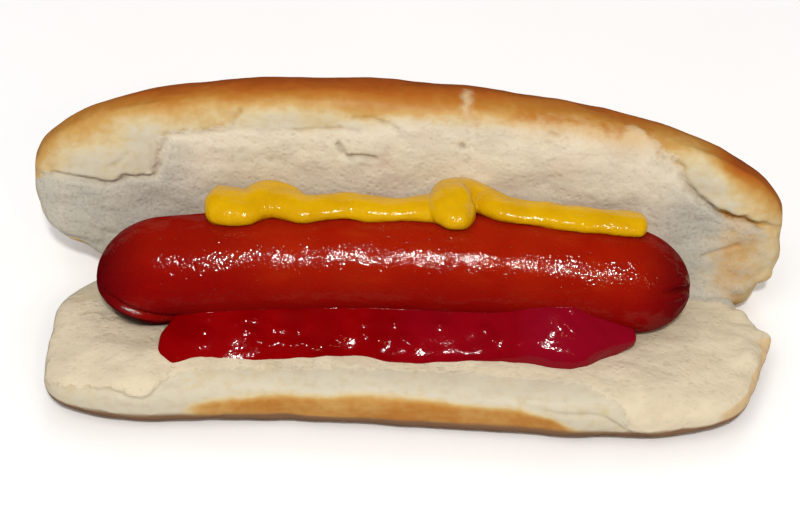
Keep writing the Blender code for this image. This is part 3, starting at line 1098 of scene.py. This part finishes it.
def mustard_material():
    n = Nodes("mustard_sauce")
    broad = n.noise(6, 2)
    fine = n.noise(0.8, 2)
    colour = n.mix(n.ranged(broad, 0.3, 0.7), srgb(200, 151, 1), srgb(210, 162, 2))
    n.bumps(n.math("ADD", fine, broad), 0.27, 0.6)
    return n.finish(
        Base_Color=colour,
        Roughness=0.15,
        Specular_IOR_Level=0.4,
        Subsurface_Weight=0.12,
        Subsurface_Radius=(0.003, 0.0015, 0.0003),
    )


def ketchup_material():
    n = Nodes("ketchup_sauce")
    broad = n.noise(8, 2)
    fine = n.noise(0.8, 2)
    colour = n.mix(n.ranged(broad, 0.3, 0.7), srgb(118, 0, 2), srgb(134, 1, 4))
    colour = n.mix(n.layer("right"), colour, srgb(128, 6, 26))
    n.bumps(fine, 0.09, 0.6)
    return n.finish(Base_Color=colour, Roughness=0.09, Specular_IOR_Level=0.14)


# The table, the lights and the camera

# The camera's angles in degrees, its distance in metres, and what it aims at: this many
# millimetres left of the fold's corner and above it, as the photograph shows them.
ELEVATION = 43.0
AZIMUTH = 1.0
ROLL = 1.75
DISTANCE = 0.45
AIM_LEFT = 2.1
AIM_ABOVE = 3.6
MM_PER_PIXEL = 0.2075
IMAGE_WIDTH = 800
SENSOR = 36.0
TABLE_SIZE = 4.0
# Each light's azimuth and elevation in degrees, distance and size in metres, power in watts,
# colour, and whether shiny surfaces mirror it.
LIGHTS = (
    ("flash", 2, 53, 0.9, 0.07, 4.4, (1.0, 0.99, 0.98), True),
    ("window", -35, 66, 1.2, 0.7, 2.6, (1.0, 0.97, 0.93), False),
    ("lamp", 25, 40, 1.1, 0.12, 0.7, (1.0, 0.62, 0.30), True),
    ("rear", 180, 50, 1.2, 0.6, 2.0, (1.0, 1.0, 1.0), False),
)
LIGHT_TARGET = Vector((0, 0, 0.02))
WORLD_LIGHT = 0.42


def make_table():
    bpy.ops.mesh.primitive_plane_add(size=TABLE_SIZE, location=(0, 0, 0))
    table = bpy.context.object
    table.name = "table"
    n = Nodes("pale_table")
    tone = n.noise(60, 2)
    colour = n.mix(n.ranged(tone, 0.3, 0.7), (0.96, 0.96, 0.955, 1), (0.975, 0.975, 0.975, 1))
    table.data.materials.append(n.finish(Base_Color=colour, Roughness=0.7, Specular_IOR_Level=0.2))
    table.visible_glossy = False


def direction(azimuth, elevation):
    """The way from the hot dog to what stands at these angles in degrees."""
    a, e = math.radians(azimuth), math.radians(elevation)
    return Vector((math.sin(a) * math.cos(e), -math.cos(a) * math.cos(e), math.sin(e)))


def add_light(name, azimuth, elevation, away, size, power, colour, mirrored):
    data = bpy.data.lights.new(name, "AREA")
    data.shape = "DISK"
    data.size = size
    data.energy = power
    data.color = colour
    light = bpy.data.objects.new(name, data)
    bpy.context.scene.collection.objects.link(light)
    back = direction(azimuth, elevation)
    light.location = back * away + LIGHT_TARGET
    light.rotation_euler = back.to_track_quat("Z", "Y").to_euler()
    light.visible_glossy = mirrored


def make_lights():
    for light in LIGHTS:
        add_light(*light)
    world = bpy.data.worlds.new("room")
    world.use_nodes = True
    background = world.node_tree.nodes["Background"]
    background.inputs["Color"].default_value = (1, 1, 1, 1)
    background.inputs["Strength"].default_value = WORLD_LIGHT
    world.cycles_visibility.glossy = False
    bpy.context.scene.world = world


def make_camera():
    """Looks at the fold from the photograph's direction."""
    back = direction(AZIMUTH, ELEVATION)
    turn = math.radians(AZIMUTH)
    roll = math.radians(ROLL)
    right = Vector((math.cos(turn), math.sin(turn), 0))
    up = back.cross(right)
    fold = (Vector(SHIFT) + Vector((0, 0, FOLD_HEIGHT))) * MM
    target = fold - right * AIM_LEFT * MM + up * AIM_ABOVE * MM
    turned_right = right * math.cos(roll) + up * math.sin(roll)
    turned_up = up * math.cos(roll) - right * math.sin(roll)
    data = bpy.data.cameras.new("camera")
    data.sensor_width = SENSOR
    data.lens = SENSOR * DISTANCE / (IMAGE_WIDTH * MM_PER_PIXEL * MM)
    camera = bpy.data.objects.new("camera", data)
    bpy.context.scene.collection.objects.link(camera)
    camera.location = target + back * DISTANCE
    camera.rotation_euler = Matrix((turned_right, turned_up, back)).transposed().to_euler()
    bpy.context.scene.camera = camera


make_bun(bread_material())
make_sausage(sausage_material())
make_mustard(mustard_material())
make_ketchup(ketchup_material())
make_table()
make_lights()
make_camera()
bpy.context.scene.view_settings.view_transform = "Standard"
